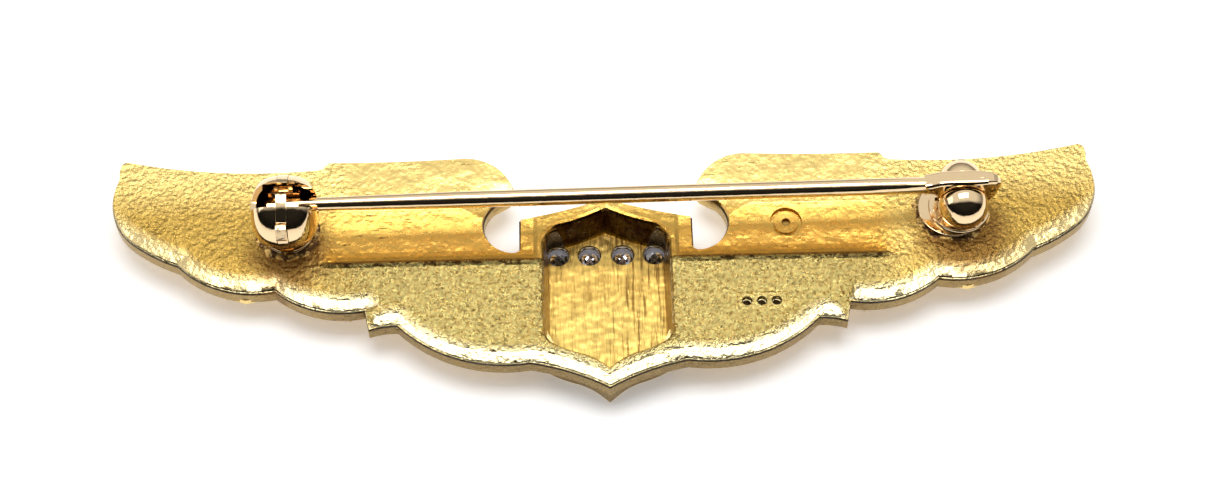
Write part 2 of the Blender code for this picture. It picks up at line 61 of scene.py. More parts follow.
# Half outlines: x, y, and how far the stretch to the next point bows outwards
WING_HALF = [
    (0.0, 3.72, -0.12),
    (5.08, 2.35, 0.0),
    (5.08, 0.35, -0.08),
    (5.5, 0.13, -0.5),
    (7.15, 2.1, -0.12),
    (6.55, 3.35, 0.0),
    (5.8, 3.8, 0.12),
    (5.35, 4.5, 0.62),
    (8.3, 6.75, -0.08),
    (16.35, 6.62, 0.04),
    (16.75, 6.2, -0.04),
    (17.2, 6.1, -0.45),
    (28.3, 6.95, 0.14),
    (28.8, 6.4, -0.04),
    (28.8, 5.6, 0.8),
    (27.4, 1.1, 0.1),
    (24.9, -0.3, 0.78),
    (19.2, -2.15, 0.63),
    (14.0, -3.55, 0.0),
    (13.75, -4.85, -0.08),
    (12.1, -4.6, 1.0),
    (4.5, -7.2, -0.2),
    (0.0, -8.9, 0.0),
]
SHIELD_HALF = [
    (0.0, 2.87, -0.1),
    (2.9, 1.75, 0.06),
    (3.67, 0.75, 0.0),
    (3.67, -5.2, 0.15),
    (3.1, -6.1, 0.05),
    (1.6, -6.75, -0.1),
    (0.0, -7.74, 0.0),
]

# Heights above the resting plane
PLATE_FRONT_Z = 1.6
SHIELD_FLOOR_Z = 0.7
SHIELD_FIELD_Z = 0.25

# The hollow behind the coverts, as distance above the crease and height above the back
CHANNEL = [(-0.02, 0.3), (-0.02, 0.03), (0.0, 0.0), (0.2, -0.09), (0.45, -0.155), (0.8, -0.19), (1.3, -0.19),
           (2.0, -0.15), (2.8, -0.08), (3.6, -0.01), (3.8, 0.03), (3.8, 0.3)]
CREASE_Y = -0.55 + Y_SHIFT
CHANNEL_INNER_X = 4.0
CHANNEL_OUTER_X = 16.3
STONE_X = (-2.85, -0.98, 0.98, 2.85)
STONE_Y = 1.0 + Y_SHIFT

# The worn lower edge
NET_STEP = 0.4
WEAR_DEPTH = 0.33
WEAR_WIDTH = 1.7

# The upright bars on the front, with the lower ends from the middle outwards
STRIPES_EACH_SIDE = 3
STRIPE_PITCH = 0.95
STRIPE_HALF = 0.26
STRIPE_TOP = -0.35
STRIPE_BOTTOM = (-7.0, -6.5, -6.1, -5.2)

# The catch, with the straight passage that lets the stem out
BALL_HALF_WIDTH = 1.92
BALL_R = 2.1
BALL_POWER = 2.7
STEM_OFF_CENTRE = 0.28
PASSAGE_HALF = 0.5
PASSAGE_REACH = 1.15

# The joint's foot stands this far behind the hinge
FOOT_BACK = 0.43

# The stem and its tongue
STEM_Z = BACK_Z + 2.7
STEM_TIP_X = -19.4
STEM_TIP_Y = 1.78 + Y_SHIFT
TONGUE_HALF = 0.5
TONGUE_ROUND_X = 0.45
TONGUE_ROUND_LENGTH = 1.75
TONGUE = [(-2.3, 0.57), (-1.95, 0.62), (-1.6, 0.45), (-1.4, 0.1), (-1.3, -0.35), (-1.1, -0.7), (-0.75, -1.02),
          (-0.35, -1.2), (0.1, -1.25), (0.5, -1.15), (0.85, -0.96), (1.25, -0.8), (1.5, -0.55), (1.68, -0.25),
          (1.88, 0.05), (2.03, 0.4), (2.13, 0.75), (2.15, 1.05), (2.08, 1.35), (1.9, 1.57), (1.65, 1.7),
          (1.3, 1.77), (0.2, 1.78), (-1.0, 1.77), (-1.5, 1.7), (-1.95, 1.52), (-2.3, 1.44)]


# ---------------------------------------------------------------- outlines

def arc_between(start, end, bow):
    """Points from start up to but not including end, bowing to the left of the way by bow."""
    start, end = Vector(start), Vector(end)
    if abs(bow) < 1e-6:
        return [start]
    chord = (end - start).length
    radius = (chord * chord / 4 + bow * bow) / (2 * abs(bow))
    sweep = 2 * math.asin(min(1.0, chord / (2 * radius)))
    steps = max(2, math.ceil(radius * sweep / CURVE_STEP))
    left = Vector((-(end - start).y, (end - start).x)).normalized() * math.copysign(1, bow)
    centre = (start + end) / 2 + left * (abs(bow) - radius)
    turn = -math.copysign(sweep, bow)
    return [centre + Matrix.Rotation(turn * step / steps, 2) @ (start - centre) for step in range(steps)]


def half_points(half):
    points = []
    for (x0, y0, bow), (x1, y1, _) in zip(half, half[1:]):
        points += arc_between((x0, y0), (x1, y1), bow)
    points.append(Vector(half[-1][:2]))
    return [Vector((point.x, point.y + Y_SHIFT)) for point in points]


def mirrored_outline(half):
    """Both halves of an outline that starts and ends on x = 0, anticlockwise."""
    right = half_points(half)
    left = [Vector((-point.x, point.y)) for point in right[1:-1]]
    return left + right[::-1]


# ---------------------------------------------------------------- mesh tools

def flat_face(bm, outline, z):
    return bm.faces.new([bm.verts.new((point.x, point.y, z)) for point in outline])


def distance_to(outline, point):
    """Shortest distance from a point to a closed outline."""
    best = 1e9
    for index, start in enumerate(outline):
        along = start - outline[index - 1]
        part = max(0.0, min(1.0, (point - outline[index - 1]).dot(along) / along.length_squared))
        best = min(best, (outline[index - 1] + along * part - point).length)
    return best


def untangled(outline):
    """Closes the small loops that an offset leaves at sharp corners."""
    count = len(outline)
    for start in range(count):
        for span in range(2, min(9, count // 2)):
            first, last = (start + 1) % count, (start + span) % count
            hit = geometry.intersect_line_line_2d(outline[start], outline[first], outline[last],
                                                  outline[(last + 1) % count])
            if hit:
                for step in range(1, span + 1):
                    outline[(start + step) % count] = hit
    return outline


def offset_outline(outline, distance):
    """The anticlockwise outline moved outwards by distance, less where two sides would meet."""
    moved = []
    for index, point in enumerate(outline):
        before = (point - outline[index - 1]).normalized()
        after = (outline[(index + 1) % len(outline)] - point).normalized()
        normal = Vector((before.y + after.y, -before.x - after.x)).normalized()
        reach = distance / max(0.6, normal.dot(Vector((before.y, -before.x))))
        part = 1.0
        while (part > 0.05
               and distance_to(outline, point + normal * reach * part) < 0.9 * abs(distance) * part):
            part *= 0.85
        reach *= part
        moved.append(point + normal * reach)
    return untangled(moved)


def extrude(bm, face, vec=(0, 0, 0)):
    """Extrudes one face by vec and returns the face at the far end."""
    made = bmesh.ops.extrude_face_region(bm, geom=[face, *face.edges])["geom"]
    far = next(item for item in made if isinstance(item, bmesh.types.BMFace))
    bmesh.ops.translate(bm, vec=vec, verts=far.verts)
    return far


def stepped(outline, levels):
    """A closed solid over an outline: each level is (how far out, height), from end to end."""
    bm = bmesh.new()
    face = flat_face(bm, offset_outline(outline, levels[0][0]), levels[0][1])
    for out, z in levels[1:]:
        face = extrude(bm, face)
        for vert, point in zip(face.verts, offset_outline(outline, out)):
            vert.co = (point.x, point.y, z)
    bmesh.ops.remove_doubles(bm, verts=bm.verts, dist=1e-4)
    bmesh.ops.dissolve_degenerate(bm, edges=bm.edges, dist=1e-4)
    return bm


def spun(profile, axis="X", steps=96, at=(0, 0, 0)):
    """A full turn of a profile of (along, radius) about an axis through a point."""
    bm = bmesh.new()
    verts = [bm.verts.new((along, radius, 0)) for along, radius in profile]
    edges = [bm.edges.new(pair) for pair in zip(verts, verts[1:] + verts[:1])
             if pair[0].co.y or pair[1].co.y]
    bmesh.ops.spin(bm, geom=verts + edges, cent=(0, 0, 0), axis=(1, 0, 0), angle=math.tau,
                   steps=steps, use_merge=True)
    bmesh.ops.remove_doubles(bm, verts=bm.verts, dist=1e-5)
    bmesh.ops.dissolve_degenerate(bm, edges=bm.edges, dist=1e-5)
    turn = {"X": Matrix(), "Y": Matrix.Rotation(math.pi / 2, 4, "Z"),
            "Z": Matrix.Rotation(-math.pi / 2, 4, "Y")}[axis]
    bmesh.ops.transform(bm, matrix=Matrix.Translation(at) @ turn, verts=bm.verts)
    return bm


def block(low, high):
    bm = bmesh.new()
    bmesh.ops.create_cube(bm, size=1)
    bmesh.ops.scale(bm, vec=[top - bottom for bottom, top in zip(low, high)], verts=bm.verts)
    bmesh.ops.translate(bm, vec=[(top + bottom) / 2 for bottom, top in zip(low, high)], verts=bm.verts)
    return bm


def round_corner(corner, radius, start, end, steps=5):
    """Points of (along, radius) round a quarter circle centred on corner, between two angles."""
    points = []
    for step in range(steps + 1):
        angle = math.radians(start + (end - start) * step / steps)
        points.append((corner[0] + radius * math.cos(angle), corner[1] + radius * math.sin(angle)))
    return points


def piece(name, bm, body, material, node=None, smooth_angle=35.0):
    """Makes the finished object of a bmesh in millimetres, riding on a CAD body."""
    bmesh.ops.recalc_face_normals(bm, faces=bm.faces)
    bmesh.ops.scale(bm, vec=(MM, MM, MM), verts=bm.verts)
    mesh = bpy.data.meshes.new(name)
    bm.to_mesh(mesh)
    bm.free()
    obj = bpy.data.objects.new(name, mesh)
    bpy.context.scene.collection.objects.link(obj)
    mesh.materials.append(material)
    mesh.shade_smooth()
    mesh.set_sharp_from_angle(angle=math.radians(smooth_angle))
    if body:
        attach(obj, body)
    if node:
        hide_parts(node)
    return obj


def tool(name, bm):
    """A throw-away cutter for a Boolean."""
    bmesh.ops.recalc_face_normals(bm, faces=bm.faces)
    bmesh.ops.scale(bm, vec=(MM, MM, MM), verts=bm.verts)
    mesh = bpy.data.meshes.new(name)
    bm.to_mesh(mesh)
    bm.free()
    obj = bpy.data.objects.new(name, mesh)
    bpy.context.scene.collection.objects.link(obj)
    return obj


def combine(obj, tools, operation):
    """Applies a Boolean with each tool and removes the tools."""
    for other in tools:
        modifier = obj.modifiers.new(other.name, "BOOLEAN")
        modifier.operation = operation
        modifier.object = other
        modifier.solver = "EXACT"
    graph = bpy.context.evaluated_depsgraph_get()
    mesh = bpy.data.meshes.new_from_object(obj.evaluated_get(graph))
    obj.modifiers.clear()
    obj.data = mesh
    for other in tools:
        bpy.data.objects.remove(other)


# ---------------------------------------------------------------- materials

def new_material(name, color, metallic, roughness):
    material = bpy.data.materials.new(name)
    material.use_nodes = True
    tree = material.node_tree
    shader = tree.nodes["Principled BSDF"]
    shader.inputs["Base Color"].default_value = (*color, 1)
    shader.inputs["Metallic"].default_value = metallic
    shader.inputs["Roughness"].default_value = roughness
    return material, tree, shader


def add_node(tree, kind, values=None, **settings):
    node = tree.nodes.new(kind)
    for key, value in settings.items():
        setattr(node, key, value)
    for key, value in (values or {}).items():
        if isinstance(value, bpy.types.NodeSocket):
            tree.links.new(value, node.inputs[key])
        else:
            node.inputs[key].default_value = value
    return node


def place(tree, scale=(1, 1, 1), turn=0.0):
    """Object coordinates in millimetres, turned in the plane and stretched."""
    coords = add_node(tree, "ShaderNodeTexCoord")
    return add_node(tree, "ShaderNodeMapping", {
        "Vector": coords.outputs["Object"], "Rotation": (0, 0, math.radians(turn)),
        "Scale": tuple(part / MM for part in scale)}).outputs["Vector"]


def grain(tree, scale, detail=3.0, roughness=0.6, stretch=(1, 1, 1), turn=0.0):
    return add_node(tree, "ShaderNodeTexNoise", {
        "Vector": place(tree, stretch, turn), "Scale": scale, "Detail": detail,
        "Roughness": roughness}).outputs["Fac"]


def between(tree, value, low, high, out_low=0.0, out_high=1.0):
    return add_node(tree, "ShaderNodeMapRange", {
        "Value": value, "From Min": low, "From Max": high, "To Min": out_low, "To Max": out_high,
    }).outputs["Result"]


def math_node(tree, operation, first, second):
    return add_node(tree, "ShaderNodeMath", {0: first, 1: second}, operation=operation).outputs[0]


def bump(tree, height, depth_mm, strength=1.0, under=None):
    values = {"Height": height, "Distance": depth_mm * MM, "Strength": strength}
    if under:
        values["Normal"] = under
    return add_node(tree, "ShaderNodeBump", values).outputs["Normal"]


def blend_color(tree, amount, first, second):
    mix = add_node(tree, "ShaderNodeMix", data_type="RGBA")
    for index, value in ((0, amount), (6, first), (7, second)):
        if isinstance(value, bpy.types.NodeSocket):
            tree.links.new(value, mix.inputs[index])
        else:
            mix.inputs[index].default_value = (*value, 1) if index else value
    return mix.outputs[2]


def scratches(tree, turn, fine, amount):
    """Thin straight marks across the surface, broken up into short runs."""
    lines = grain(tree, fine, 2.0, 0.5, (0.06, 1, 1), turn)
    runs = grain(tree, 0.9, 2.0, 0.5, (1, 1, 1), turn)
    marks = between(tree, lines, 0.66, 0.74)
    return math_node(tree, "MULTIPLY", marks, between(tree, runs, 0.62 - amount, 0.68 - amount))


def times(tree, *values):
    product = values[0]
    for value in values[1:]:
        product = math_node(tree, "MULTIPLY", product, value)
    return product


def distance(tree, centre):
    """How far along the face a spot is from a centre, both in millimetres."""
    flat = add_node(tree, "ShaderNodeVectorMath", {0: place(tree), 1: (1, 1, 0)}, operation="MULTIPLY")
    return add_node(tree, "ShaderNodeVectorMath", {0: flat.outputs[0], 1: centre},
                    operation="DISTANCE").outputs["Value"]


def blasted_gold():
    """The badge's back: pebbled below the crease, smoother above it, with fine scratches."""
    material, tree, shader = new_material("blasted_gold", (0.95, 0.70, 0.27), 1.0, 0.3)
    spots = add_node(tree, "ShaderNodeSeparateXYZ", {0: place(tree)})
    along = math_node(tree, "ABSOLUTE", spots.outputs["X"], 0.0)
    height = spots.outputs["Y"]
    below = between(tree, height, 0.5, 0.2, 0.12, 1.0)
    far = between(tree, along, 14.0, 18.0, 0.0, 0.45)
    rough = math_node(tree, "MAXIMUM", times(tree, below, between(tree, along, 20.0, 14.5)), far)
    pebbles = add_node(tree, "ShaderNodeTexVoronoi", {"Vector": place(tree), "Scale": 3.6},
                       feature="SMOOTH_F1").outputs["Distance"]
    depth = spots.outputs["Z"]
    outside = math_node(tree, "MAXIMUM", between(tree, height, 0.4, 0.2), between(tree, along, 17.5, 19.0))
    worn = times(tree, between(tree, depth, BACK_Z - 0.05, BACK_Z - 0.15),
                 between(tree, depth, BACK_Z - 0.40, BACK_Z - 0.34), outside)
    rough = times(tree, rough, between(tree, worn, 0.0, 1.0, 1.0, 0.3))
    surface = bump(tree, times(tree, pebbles, rough), 0.16)
    surface = bump(tree, times(tree, grain(tree, 4.6, 3.0, 0.7), rough), 0.2, under=surface)
    surface = bump(tree, grain(tree, 0.5, 2.0), 0.14, under=surface)
    surface = bump(tree, scratches(tree, 35, 9.0, 0.1), -0.03, under=surface)
    surface = bump(tree, scratches(tree, -62, 8.0, 0.05), -0.03, under=surface)
    from_crease = math_node(tree, "ABSOLUTE", math_node(tree, "SUBTRACT", height, 0.27), 0.0)
    within = times(tree, between(tree, along, 16.6, 16.0), between(tree, along, 3.9, 4.4))
    burr = times(tree, between(tree, from_crease, 0.22, 0.1), within)
    ragged = between(tree, grain(tree, 3.2, 4.0, 0.75, (0.8, 1, 1)), 0.35, 0.65)
    surface = bump(tree, times(tree, burr, ragged), 0.28, under=surface)
    tree.links.new(surface, shader.inputs["Normal"])
    tone = blend_color(tree, between(tree, grain(tree, 0.35, 3.0), 0.35, 0.65),
                       (0.98, 0.74, 0.25), (0.95, 0.67, 0.20))
    # Painted highlights and shade on the pebbled zone: pale specks stand in for glints, dark specks for shade
    # in the pits.
    glint_and_shade_specks = grain(tree, 3.8, 3.0, 0.75)
    tone = blend_color(tree, times(tree, between(tree, glint_and_shade_specks, 0.43, 0.36), rough), tone, (0.42, 0.26, 0.05))
    tone = blend_color(tree, times(tree, between(tree, glint_and_shade_specks, 0.48, 0.55), rough), tone, (1.0, 0.83, 0.30))
    # Painted shade: the back is painted darker towards the wing ends.
    tone = blend_color(tree, between(tree, along, 13.0, 21.0, 0.0, 0.85), tone, (0.40, 0.235, 0.04))
    # Painted shade: the hollow above the crease is painted darker.
    hollow = times(tree, between(tree, height, 4.8, 3.6), between(tree, height, 0.3, 0.45),
                   between(tree, along, 17.5, 16.0))
    tone = blend_color(tree, hollow, tone, (0.67, 0.41, 0.09))
    # Painted shade: the side faces of the rim are painted darker.
    side = between(tree, depth, BACK_Z - 0.30, BACK_Z - 0.42)
    tone = blend_color(tree, side, tone, (0.42, 0.29, 0.12))
    # Painted shade: a near-black line along the top of the rim's side faces.
    edge_shade_line = times(tree, between(tree, depth, BACK_Z - 0.33, BACK_Z - 0.36),
                between(tree, depth, BACK_Z - 0.58, BACK_Z - 0.53))
    tone = blend_color(tree, edge_shade_line, tone, (0.04, 0.025, 0.01))
    # Painted highlight: a pale band along the rounded lower edges.
    edge_highlight = times(tree, worn, between(tree, along, 16.0, 22.0, 1.0, 0.45))
    tone = blend_color(tree, edge_highlight, tone, (1.0, 0.86, 0.50))
    # Painted shadow: dark brown patches on the plate below the joint and the catch.
    for centre, reach in (((HINGE.x + 0.2, HINGE.y - 1.6, 0), 3.4), ((CATCH.x + 0.1, CATCH.y - 1.6, 0), 3.0)):
        gap = math_node(tree, "ADD", distance(tree, centre),
                        between(tree, grain(tree, 1.2, 3.0), 0.3, 0.7, -0.5, 0.5))
        tone = blend_color(tree, between(tree, gap, reach, reach - 1.6, 0.0, 0.9), tone, (0.20, 0.10, 0.025))
    tone = blend_color(tree, between(tree, height, 3.8, 6.5), tone, (0.94, 0.69, 0.24))
    # Painted reflection: a deep orange band just above the crease, where gold faces gold.
    cove = times(tree, between(tree, height, 1.6, 0.8), between(tree, height, 0.3, 0.45), within)
    tone = blend_color(tree, cove, tone, (0.58, 0.30, 0.045))
    # Painted shade: broken dark dashes along the crease.
    crease_shade_dashes = times(tree, burr, between(tree, grain(tree, 2.6, 4.0, 0.75, (0.7, 1, 1)), 0.5, 0.56))
    tone = blend_color(tree, crease_shade_dashes, tone, (0.16, 0.08, 0.02))
    tree.links.new(tone, shader.inputs["Base Color"])
    sheen = between(tree, grain(tree, 2.2, 4.0), 0.3, 0.7, 0.22, 0.36)
    tree.links.new(times(tree, sheen, between(tree, worn, 0.0, 1.0, 1.0, 0.6)), shader.inputs["Roughness"])
    return material


def brushed_gold():
    """The shield's recess: brushed from top to bottom, with painted shade, near black, on the upper wall."""
    material, tree, shader = new_material("brushed_gold", (0.92, 0.66, 0.24), 1.0, 0.3)
    spots = add_node(tree, "ShaderNodeSeparateXYZ", {0: place(tree)})
    streaks = grain(tree, 5.5, 3.0, 0.65, (1, 0.05, 0.3))
    surface = bump(tree, streaks, 0.06)
    surface = bump(tree, grain(tree, 0.7, 2.0), 0.10, under=surface)
    tree.links.new(surface, shader.inputs["Normal"])
    marked = times(tree, between(tree, streaks, 0.52, 0.62),
                   between(tree, spots.outputs["X"], -0.8, 0.8, 0.25, 1.0))
    tone = blend_color(tree, marked, (0.80, 0.55, 0.15), (0.30, 0.17, 0.04))
    # Painted shade: the upper wall of the recess is painted near black, in blotches.
    wall = times(tree, between(tree, spots.outputs["Z"], 0.75, 1.0),
                 between(tree, spots.outputs["Y"], 1.9, 2.6))
    wall_shade_blotches = between(tree, grain(tree, 0.9, 3.0), 0.42, 0.6, 0.75, 1.0)
    tone = blend_color(tree, times(tree, wall, wall_shade_blotches), tone, (0.10, 0.035, 0.01))
    # Painted shade: the side walls of the recess are painted darker.
    outer = times(tree, between(tree, spots.outputs["Z"], 0.72, 0.85),
                  between(tree, math_node(tree, "ABSOLUTE", spots.outputs["X"], 0.0), 3.3, 3.4))
    tone = blend_color(tree, times(tree, outer, 0.8), tone, (0.26, 0.14, 0.03))
    tree.links.new(tone, shader.inputs["Base Color"])
    tree.links.new(between(tree, grain(tree, 4.0, 2.0, 0.5, (1, 0.1, 1)), 0.3, 0.7, 0.22, 0.4),
                   shader.inputs["Roughness"])
    return material


def polished_gold():
    material, tree, shader = new_material("polished_gold", (0.95, 0.71, 0.42), 1.0, 0.07)
    surface = bump(tree, grain(tree, 1.2, 2.0), 0.02)
    surface = bump(tree, scratches(tree, 20, 14.0, 0.0), -0.004, under=surface)
    tree.links.new(surface, shader.inputs["Normal"])
    tree.links.new(between(tree, grain(tree, 3.0, 3.0), 0.3, 0.7, 0.04, 0.12), shader.inputs["Roughness"])
    return material


def solder_gold():
    """Solder run-out: gold grains in painted shadow, near black, round the joint and the catch."""
    material, tree, shader = new_material("solder_gold", (0.78, 0.50, 0.17), 1.0, 0.3)
    surface = bump(tree, grain(tree, 2.5, 4.0, 0.7), 0.12)
    tree.links.new(surface, shader.inputs["Normal"])
    # Painted shadow: the fillet is painted near black between gold grains.
    tone = blend_color(tree, between(tree, grain(tree, 1.8, 3.0, 0.7), 0.47, 0.6),
                       (0.10, 0.05, 0.02), (0.85, 0.55, 0.18))
    tree.links.new(tone, shader.inputs["Base Color"])
    return material


def struck_gold():
    """The front's feathers and shield, with fine barbs."""
    material, tree, shader = new_material("struck_gold", (0.95, 0.70, 0.29), 1.0, 0.24)
    surface = bump(tree, grain(tree, 5.0, 2.0, 0.5, (1, 1, 1)), 0.015)
    surface = bump(tree, grain(tree, 0.8, 2.0), 0.03, under=surface)
    tree.links.new(surface, shader.inputs["Normal"])
    tree.links.new(between(tree, grain(tree, 2.0, 3.0), 0.3, 0.7, 0.18, 0.34), shader.inputs["Roughness"])
    return material


def stone_glass():
    material, _, shader = new_material("stone_glass", (0.50, 0.50, 0.56), 0.0, 0.01)
    shader.inputs["IOR"].default_value = 2.1
    shader.inputs["Transmission Weight"].default_value = 1.0
    return material


# ---------------------------------------------------------------- badge


def channel(side):
    """The hollow behind the coverts: a sharp lower edge, fading upwards and at both ends."""
    bm = bmesh.new()
    spots = [(CHANNEL_INNER_X, 0.25), (CHANNEL_INNER_X + 0.25, 1.0), (CHANNEL_OUTER_X - 1.5, 1.0),
             (CHANNEL_OUTER_X - 0.5, 0.6), (CHANNEL_OUTER_X, 0.05)]
    ring = [bm.verts.new((side * spots[0][0], CREASE_Y + y, BACK_Z + z * (spots[0][1] if z < 0 else 1)))
            for y, z in CHANNEL]
    face = bm.faces.new(ring)
    for x, depth in spots[1:]:
        face = extrude(bm, face)
        for vert, (y, z) in zip(face.verts, CHANNEL):
            vert.co = (side * x, CREASE_Y + y, BACK_Z + z * (depth if z < 0 else 1))
    return bm


def stone_seat(x):
    profile = [(-1, 0), (3, 0), (3, 0.7), (0.56, 0.7), (0.42, 0.86), (-1, 0.86)]
    return spun(profile, "Z", 40, (x, STONE_Y, 0))


def punch_marks():
    """Two plain punches: a blank oblong cartouche with three pits, and a ring with a dot."""
    marks = []
    place_x, place_y = 8.85, -3.6 + Y_SHIFT
    oblong = [Vector((place_x + dx, place_y + dy)) for dx, dy in
              ((-1.4, -0.55), (1.4, -0.55), (1.4, 0.55), (-1.4, 0.55))]
    marks.append(stepped(oblong, [(0.1, BACK_Z + 0.1), (0.0, BACK_Z - 0.06)]))
    for step in (-0.85, 0.0, 0.85):
        marks.append(spun([(-0.4, 0), (0.1, 0), (0.1, 0.34), (-0.4, 0.24)], "Z", 20,
                          (place_x + step, place_y, BACK_Z)))
    place_x, place_y = 10.55, 1.75 + Y_SHIFT
    marks.append(spun([(-0.3, 0.72), (0.5, 0.66), (0.5, 1.05), (-0.3, 0.92)], "Z", 48,
                      (place_x, place_y, BACK_Z)))
    marks.append(spun([(-0.34, 0), (0.5, 0), (0.5, 0.36), (-0.34, 0.22)], "Z", 24,
                      (place_x, place_y, BACK_Z)))
    return marks


def nearest_side(outline, point):
    """The distance to the outline and the way out of it at the nearest side."""
    best, way = 1e9, Vector((0, 1))
    for index, start in enumerate(outline):
        along = start - outline[index - 1]
        part = max(0.0, min(1.0, (point - outline[index - 1]).dot(along) / along.length_squared))
        gap = (outline[index - 1] + along * part - point).length
        if gap < best:
            best, way = gap, Vector((along.y, -along.x)).normalized()
    return best, way


def wear(bm, outline):
    """Rounds the back off towards its lower edges, on a net of cuts across the back face."""
    for axis, low, high in ((0, -28, 28), (1, -8, 7)):
        spot = low
        while spot <= high:
            back = [face for face in bm.faces if face.calc_center_median().z > BACK_Z - 0.001]
            parts = {item for face in back for item in (face, *face.edges, *face.verts)}
            point, normal = Vector((0, 0, 0)), Vector((0, 0, 0))
            point[axis], normal[axis] = spot, 1
            bmesh.ops.bisect_plane(bm, geom=list(parts), plane_co=point, plane_no=normal)
            spot += NET_STEP
    for vert in bm.verts:
        if vert.co.z < BACK_Z - 0.001:
            continue
        gap, way = nearest_side(outline, vert.co.xy)
        lower = max(0.12, -way.y)
        vert.co.z -= WEAR_DEPTH * lower * max(0.0, 1 - gap / WEAR_WIDTH) ** 1.5


def badge(gold, brushed, struck):
    shield = mirrored_outline(SHIELD_HALF)
    plate = stepped(mirrored_outline(WING_HALF), [
        (0, PLATE_FRONT_Z), (0, BACK_Z - 0.42), (-0.03, BACK_Z - 0.37), (-0.08, BACK_Z - 0.33),
        (-0.12, BACK_Z)])
    wear(plate, mirrored_outline(WING_HALF))
    obj = piece("badge_wings", plate, "badge", gold, "badge")
    obj.data.materials.append(brushed)
    obj.data.materials.append(struck)
    body = stepped(shield, [(0.5, 0), (0.6, 0.08), (0.7, PLATE_FRONT_Z), (0.7, BACK_Z - 0.4)])
    combine(obj, [tool("shield_body", body)], "UNION")
    field = stepped(shield, [(0.2, -1), (0.2, SHIELD_FIELD_Z - 0.06), (0.14, SHIELD_FIELD_Z)])
    recess = stepped(shield, [(0.4, BACK_Z + 0.5), (0.4, BACK_Z + 0.02), (0.3, BACK_Z - 0.01),
                              (0.12, BACK_Z - 0.07), (0.0, BACK_Z - 0.2), (-0.3, SHIELD_FLOOR_Z)])
    cutters = [tool("field", field), tool("recess", recess)]
    cutters += [tool("channel", channel(side)) for side in (-1, 1)]
    cutters += [tool("seat", stone_seat(x)) for x in STONE_X]
    cutters += [tool("mark", bm) for bm in punch_marks()]
    combine(obj, cutters, "DIFFERENCE")
    for face in obj.data.polygons:
        spots = [obj.data.vertices[index].co / MM for index in face.vertices]
        if all(in_recess(spot) for spot in spots):
            face.material_index = 1
        elif face.normal.z < -0.3 and max(spot.z for spot in spots) < PLATE_FRONT_Z + 0.02:
            face.material_index = 2
    return obj


def in_recess(spot):
    lowest = -6.85 + 0.53 * abs(spot.x)
    return abs(spot.x) < 3.72 and lowest < spot.y < 3.85 and 0.6 < spot.z < BACK_Z - 0.06


def stripes(gold):
    """Low upright bars on the shield's front."""
    for index in range(-STRIPES_EACH_SIDE, STRIPES_EACH_SIDE + 1):
        x = index * STRIPE_PITCH
        low = STRIPE_BOTTOM[abs(index)] + Y_SHIFT
        bm = block((x - STRIPE_HALF, low, 0.12),
                   (x + STRIPE_HALF, STRIPE_TOP + Y_SHIFT, SHIELD_FIELD_Z + 0.05))
        bmesh.ops.bevel(bm, geom=bm.edges[:], offset=0.05, segments=2, affect="EDGES",
                        profile=0.5, material=-1)
        piece(f"shield_stripe_{index + STRIPES_EACH_SIDE + 1}", bm, "badge", gold)


def beads(gold):
    """The small grains that hold the stones, between and beside them."""
    bm = bmesh.new()
    for x in STONE_X:
        for corner in range(4):
            angle = math.radians(45 + 90 * corner)
            spot = (x + 0.9 * math.cos(angle), STONE_Y + 0.9 * math.sin(angle), 0.22)
            bmesh.ops.create_icosphere(bm, subdivisions=2, radius=0.17, matrix=Matrix.Translation(spot))
    piece("stone_beads", bm, "badge", gold)


def stones(glass):
    """Round brilliants: table, crown, thin girdle and a pointed pavilion that shows from the back."""
    rings = [(0.46, 0.1, 0.5), (0.64, 0.18, 0.0), (0.8, 0.31, 0.5), (0.8, 0.35, 0.5), (0.45, 0.67, 0.0)]
    for index, x in enumerate(STONE_X):
        bm = bmesh.new()
        for radius, z, turn in rings:
            spin = Matrix.Rotation(turn * math.tau / 8, 4, "Z")
            bmesh.ops.create_circle(bm, segments=8, radius=radius,
                                    matrix=Matrix.Translation((x, STONE_Y, z)) @ spin)
        bm.verts.new((x, STONE_Y, 1.0))
        bmesh.ops.convex_hull(bm, input=bm.verts[:])
        obj = piece(f"stone_cut_{index + 1}", bm, "badge", glass, f"stone_{index + 1}", smooth_angle=1.0)
        obj.data.shade_flat()


# ---------------------------------------------------------------- feathers of the front

def reach_to_edge(outline, hub, angle):
    """How far the outline lies from the hub in a direction."""
    far = hub + Vector((math.cos(angle), math.sin(angle))) * 60
    best = 60.0
    for index, point in enumerate(outline):
        hit = geometry.intersect_line_line_2d(hub, far, outline[index - 1], point)
        if hit and (hit - hub).length > 1.0:
            best = min(best, (hit - hub).length)
    return best


def feather(bm, root, tip, width, z, lift):
    """A closed blade from root to tip with a rounded end, a crowned vane and a raised shaft."""
    along = tip - root
    across = Vector((-along.y, along.x)).normalized() * width / 2
    made = bmesh.ops.create_grid(bm, x_segments=9, y_segments=6, size=0.5)["verts"]
    for vert in made:
        part, side = vert.co.x + 0.5, vert.co.y * 2
        taper = math.sqrt(max(0.0, 1 - max(0.0, (part - 0.72) / 0.28) ** 2)) * (0.75 + 0.25 * part)
        shaft = 0.3 * math.exp(-(side / 0.16) ** 2)
        crown = lift * (0.3 + 0.4 * part) * (1 - 0.75 * side * side + shaft)
        spot = root + along * part + across * side * max(0.06, taper)
        vert.co = (spot.x, spot.y, z - crown)
    faces = list({face for vert in made for face in vert.link_faces})
    for item in bmesh.ops.extrude_face_region(bm, geom=faces)["geom"]:
        if isinstance(item, bmesh.types.BMVert):
            item.co.z = z + 0.3


